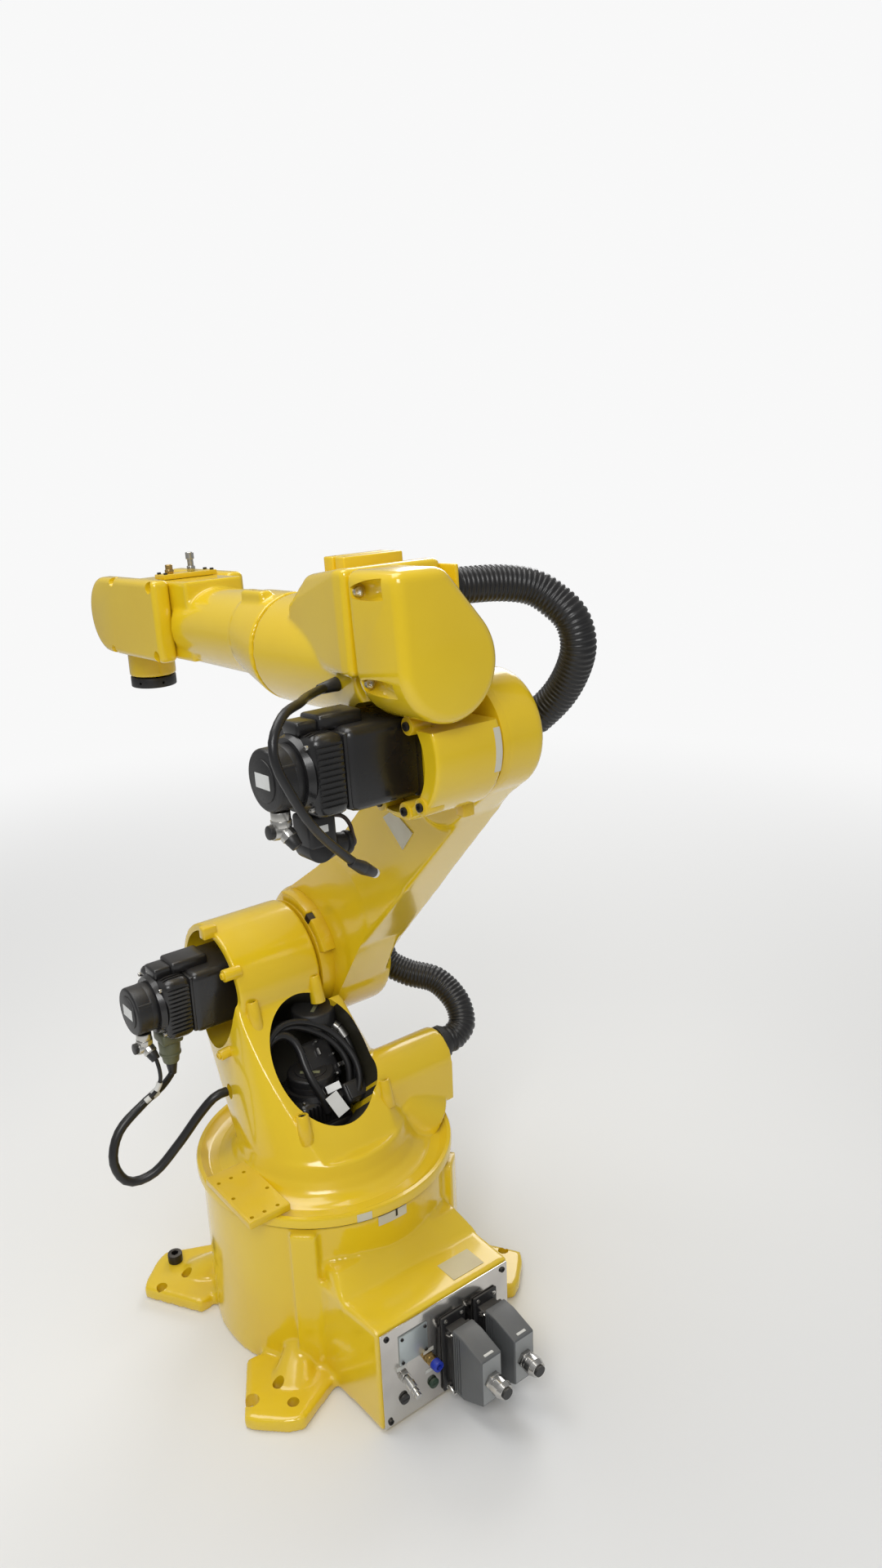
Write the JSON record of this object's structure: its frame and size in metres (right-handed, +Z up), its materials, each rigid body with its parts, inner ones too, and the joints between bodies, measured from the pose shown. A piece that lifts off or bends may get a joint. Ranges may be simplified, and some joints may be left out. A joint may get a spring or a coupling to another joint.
{
  "type": "industrial robot arm",
  "caption": "Floor-mounted jointed industrial robot arm with a turning base, long lower arm, forearm, wrist and bare tool flange.",
  "frame": {"origin": "centre of the base's underside, on the first axis, at floor level", "axes": "+Z up along the first axis, +X the way the arm reaches, +Y the side of the second and third axis motors"},
  "size_m": [0.9632, 0.6167, 1.242],
  "materials": {
    "yellow_paint": "glossy yellow paint",
    "black_paint": "satin black paint",
    "bright_steel": "bright steel",
    "grey_hood": "matt dark grey",
    "brass": "polished",
    "dark_green_plug": "matt dark green",
    "black_rubber": "satin black rubber",
    "olive_plug": "matt olive grey"
  },
  "bodies": {
    "base": {"base_casting": "yellow_paint", "connector_panel": "bright_steel", "connector_housing_left": "black_paint", "connector_housing_right": "black_paint", "connector_hood_left": "grey_hood", "connector_hood_right": "grey_hood", "cable_gland_left": "bright_steel", "cable_gland_right": "bright_steel", "panel_cover_plate": "bright_steel", "air_fitting": "brass", "hose_tail_fitting": "bright_steel", "round_black_plug": "black_paint", "round_green_plug": "dark_green_plug", "anchor_bolt": "black_paint"},
    "turret": {"turret_casting": "yellow_paint", "stop_pad": "yellow_paint", "j1_motor": "black_paint", "j1_motor_cap": "black_paint", "j2_motor": "black_paint", "j2_motor_cap": "black_paint", "j2_motor_plug": "olive_plug", "j2_encoder_plug": "black_paint", "j2_motor_lead": "black_rubber", "lower_hose_nozzle": "black_paint", "lower_conduit_hose": "black_rubber"},
    "lower_arm": {"lower_arm_casting": "yellow_paint", "lower_hose_clamp": "yellow_paint", "upper_hose_clamp": "black_paint"},
    "elbow": {"elbow_casting": "yellow_paint", "rear_cover": "yellow_paint", "j3_motor": "black_paint", "j3_motor_cap": "black_paint", "j3_motor_plug": "black_paint", "j3_encoder_plug": "bright_steel", "j3_motor_lead": "black_rubber", "upper_conduit_hose": "black_rubber"},
    "forearm": {"forearm_tube": "yellow_paint", "wrist_cover_left": "yellow_paint", "wrist_cover_right": "yellow_paint", "fittings_plate": "yellow_paint", "short_fitting": "brass", "tall_fitting": "bright_steel"},
    "wrist": {"wrist_housing": "yellow_paint"},
    "flange": {"tool_flange": "black_paint"}
  },
  "joints": [
    {"name": "j1_turn", "type": "hinge", "parent": "base", "child": "turret", "pos_m": [0, 0, 0], "axis": [0, 0, 1], "range_deg": [-170, 170]},
    {"name": "j2_lean", "type": "hinge", "parent": "turret", "child": "lower_arm", "pos_m": [0.16, 0, 0.535], "axis": [0, 1, 0], "range_deg": [-15, 135], "deforming": ["lower_conduit_hose"]},
    {"name": "j3_lift", "type": "hinge", "parent": "lower_arm", "child": "elbow", "pos_m": [-0.30528, 0, 1.01012], "axis": [0, -1, 0], "range_deg": [-35, 138], "deforming": ["upper_conduit_hose"]},
    {"name": "j4_roll", "type": "hinge", "parent": "elbow", "child": "forearm", "pos_m": [-0.29961, 0, 1.12599], "axis": [0.9988, 0, -0.0489], "range_deg": [-190, 190]},
    {"name": "j5_bend", "type": "hinge", "parent": "forearm", "child": "wrist", "pos_m": [0.47447, 0, 1.08813], "axis": [0, -1, 0], "range_deg": [-33, 207]},
    {"name": "j6_spin", "type": "hinge", "parent": "wrist", "child": "flange", "pos_m": [0.47447, 0, 0.96813], "axis": [0, 0, -1], "range_deg": [-360, 360]}
  ]
}
